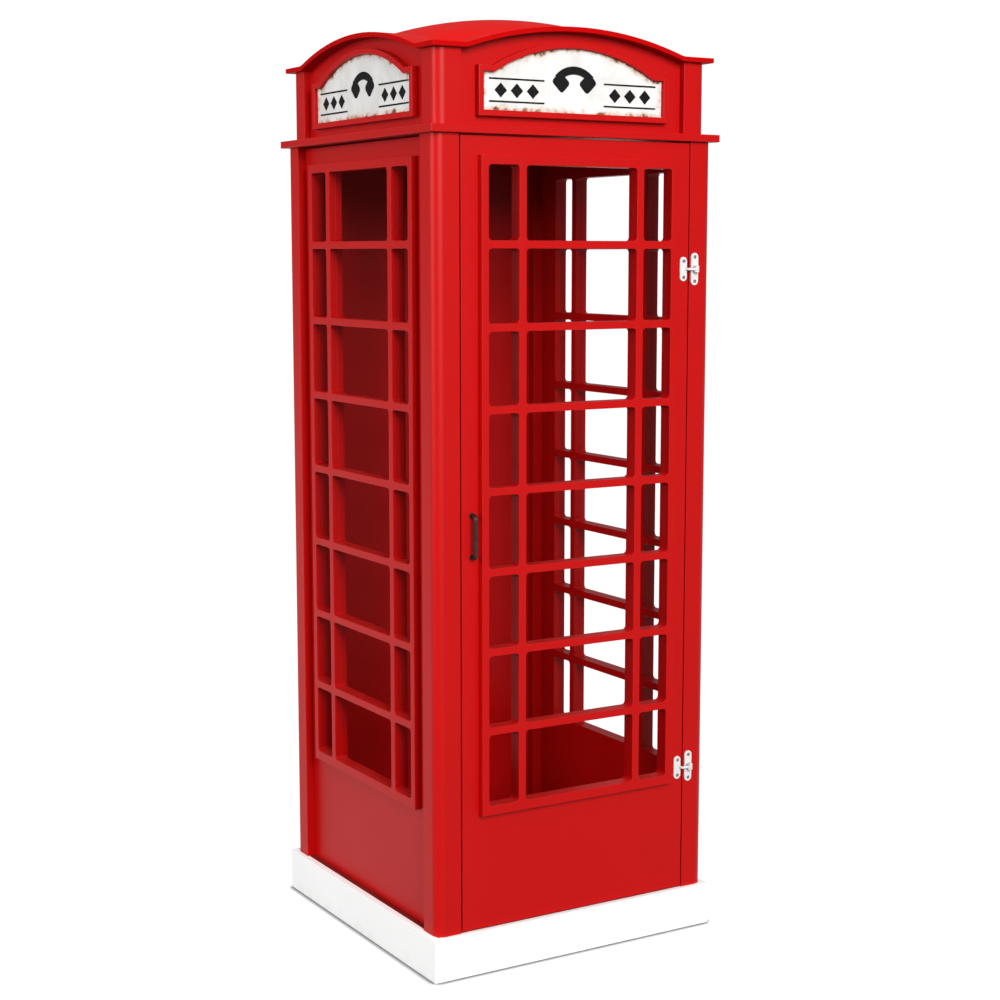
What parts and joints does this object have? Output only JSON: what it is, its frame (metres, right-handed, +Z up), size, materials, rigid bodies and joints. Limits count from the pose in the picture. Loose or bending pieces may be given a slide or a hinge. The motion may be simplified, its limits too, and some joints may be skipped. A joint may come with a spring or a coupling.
{
  "type": "telephone booth",
  "caption": "Upright street booth with a hinged door, gridded open windows on three sides, a solid back, a header with framed sign panels and a domed roof with arched edges.",
  "frame": {"origin": "on the ground under the middle of the plinth", "axes": "+X to the right across the door side, +Y from the door to the back wall, +Z up"},
  "size_m": [0.816, 0.829, 2.312],
  "materials": {
    "red_paint": "satin red paint over boards",
    "roof_red": "satin red moulded shell",
    "plinth_white": "satin white paint over boards",
    "sign_white": "aged white enamel paint",
    "handle_bronze": "dark bronze",
    "hinge_white": "white enamel",
    "bare_steel": "zinc plated",
    "magnet_case": "matt",
    "bare_timber": "sawn"
  },
  "bodies": {
    "booth": {"catch_magnet": "magnet_case", "corner_post_back_left": "red_paint", "corner_post_back_right": "red_paint", "corner_post_front_left": "red_paint", "corner_post_front_right": "red_paint", "cornice_board": "red_paint", "door_stop": "red_paint", "floor_bearer_left": "bare_timber", "floor_bearer_middle": "bare_timber", "floor_bearer_right": "bare_timber", "floor_board": "red_paint", "header_panel_back": "red_paint", "header_panel_front": "red_paint", "header_panel_left": "red_paint", "header_panel_right": "red_paint", "header_post_back_left": "red_paint", "header_post_back_right": "red_paint", "header_post_front_left": "red_paint", "header_post_front_right": "red_paint", "lower_hinge_pin": "bare_steel", "lower_hinge_post_leaf": "hinge_white", "plinth_board_back": "plinth_white", "plinth_board_front": "plinth_white", "plinth_board_left": "plinth_white", "plinth_board_right": "plinth_white", "post_leaf_screws": "bare_steel", "roof_shell": "roof_red", "sign_frame_back": "red_paint", "sign_frame_front": "red_paint", "sign_frame_left": "red_paint", "sign_frame_right": "red_paint", "sign_plate_back": "sign_white", "sign_plate_front": "sign_white", "sign_plate_left": "sign_white", "sign_plate_right": "sign_white", "upper_hinge_pin": "bare_steel", "upper_hinge_post_leaf": "hinge_white", "wall_board_back": "red_paint", "wall_board_left": "red_paint", "wall_board_right": "red_paint", "window_grid_left": "red_paint", "window_grid_right": "red_paint"},
    "door": {"door_panel": "red_paint", "door_grid": "red_paint", "door_handle": "handle_bronze", "door_handle_screws": "bare_steel", "door_leaf_screws": "bare_steel", "upper_hinge_door_leaf": "hinge_white", "lower_hinge_door_leaf": "hinge_white", "catch_plate": "bare_steel"}
  },
  "joints": [
    {"name": "door_swing", "type": "hinge", "parent": "booth", "child": "door", "pos_m": [0.3435, -0.4055, 1.056], "axis": [0, 0, 1], "range_deg": [0, 170]}
  ]
}
